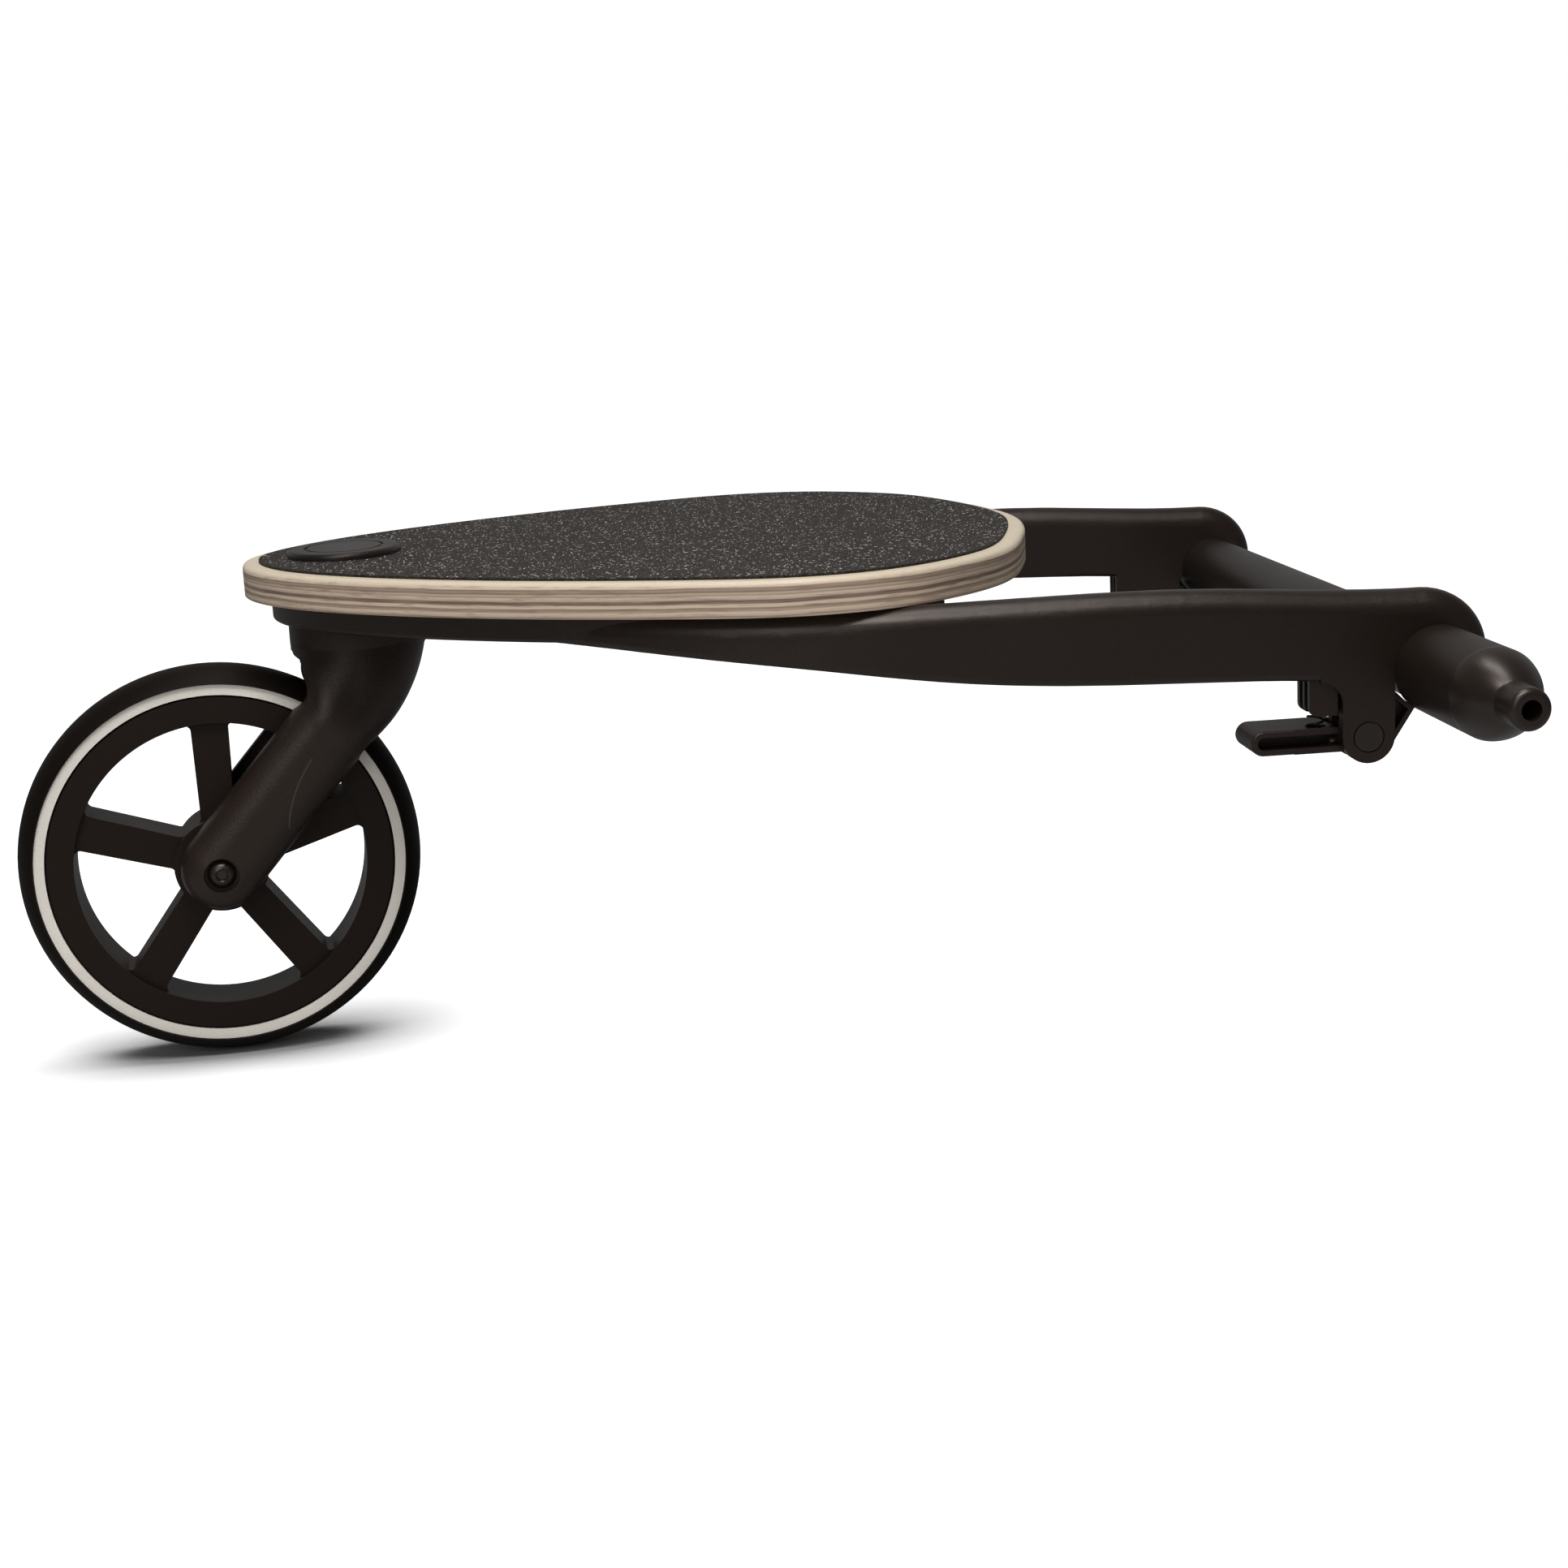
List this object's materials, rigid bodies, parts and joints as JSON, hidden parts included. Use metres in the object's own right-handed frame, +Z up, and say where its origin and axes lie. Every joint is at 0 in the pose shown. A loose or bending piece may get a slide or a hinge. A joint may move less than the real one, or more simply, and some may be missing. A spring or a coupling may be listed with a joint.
{
  "type": "buggy board",
  "caption": "Ride-on board for a pushchair: plywood deck with grip tape on a wishbone chassis, a trailing caster wheel, and a cross bar with plug ends and squeeze latches",
  "frame": {"origin": "the middle of the cross bar, on its axis", "axes": "+X points forward to the pushchair, +Y to the board's left along the bar, +Z up"},
  "size_m": [0.5177, 0.4616, 0.19],
  "materials": {
    "moulded_plastic": "fine textured warm black",
    "rim_plastic": "fine textured warm black",
    "sleeve_plastic": "satin warm black",
    "plug_plastic": "semi-gloss warm black",
    "bar_paint": "satin powder coat, warm black",
    "plywood": "clear-lacquered birch plywood with open ply edges",
    "grip": "abrasive grip tape with bright grains",
    "badge_plastic": "satin black",
    "plated_steel": "zinc plated",
    "dark_steel": "blackened steel",
    "insert_brass": "turned brass",
    "bush_nylon": "natural nylon",
    "bearing_steel": "ground steel",
    "tyre_rubber": "smooth black polyurethane",
    "reflector": "off-white reflective ring"
  },
  "bodies": {
    "cross_bar": {"cross_tube": "bar_paint", "end_sleeve_left": "sleeve_plastic", "end_sleeve_right": "sleeve_plastic", "end_plug_left": "plug_plastic", "end_plug_right": "plug_plastic", "plug_pins": "plated_steel"},
    "board": {"chassis": "moulded_plastic", "deck_board": "plywood", "grip_tape": "grip", "badge": "badge_plastic", "deck_screws": "plated_steel", "deck_inserts": "insert_brass", "kingpin": "plated_steel", "kingpin_washer": "plated_steel", "kingpin_clip": "dark_steel", "lever_pin_left": "dark_steel", "lever_pin_right": "dark_steel", "lever_spring_left": "plated_steel", "lever_spring_right": "plated_steel"},
    "caster": {"caster_fork": "moulded_plastic", "swivel_bush_upper": "bush_nylon", "swivel_bush_lower": "bush_nylon", "thrust_washer": "bush_nylon", "axle_bolt": "dark_steel", "axle_nut": "dark_steel", "axle_sleeve": "plated_steel", "axle_washers": "plated_steel", "bearing_inner_rings": "bearing_steel"},
    "wheel": {"wheel_rim": "rim_plastic", "tyre": "tyre_rubber", "reflector_rings": "reflector", "bearing_outer_rings": "bearing_steel", "bearing_balls": "bearing_steel"},
    "latch_left": {"latch_lever_left": "moulded_plastic"},
    "latch_right": {"latch_lever_right": "moulded_plastic"}
  },
  "joints": [
    {"name": "board_fold", "type": "hinge", "parent": "cross_bar", "child": "board", "pos_m": [0, 0, 0], "axis": [0, 1, 0], "range_deg": [0, 75]},
    {"name": "caster_swivel", "type": "hinge", "parent": "board", "child": "caster", "pos_m": [-0.367, 0, 0], "axis": [0, 0, 1], "continuous": true},
    {"name": "wheel_spin", "type": "hinge", "parent": "caster", "child": "wheel", "pos_m": [-0.42457, -0.00703, -0.0685], "axis": [-0.1212, 0.9926, 0], "continuous": true},
    {"name": "latch_right_squeeze", "type": "hinge", "parent": "board", "child": "latch_right", "pos_m": [-0.0236, 0, -0.0216], "axis": [0, 1, 0], "range_deg": [0, 10], "stiffness_Nm_per_rad": 0.35, "springref_deg": -17.19, "deforming": ["lever_spring_right"]},
    {"name": "latch_left_squeeze", "type": "hinge", "parent": "board", "child": "latch_left", "pos_m": [-0.0236, 0, -0.0216], "axis": [0, 1, 0], "range_deg": [0, 10], "stiffness_Nm_per_rad": 0.35, "springref_deg": -17.19, "deforming": ["lever_spring_left"]}
  ]
}
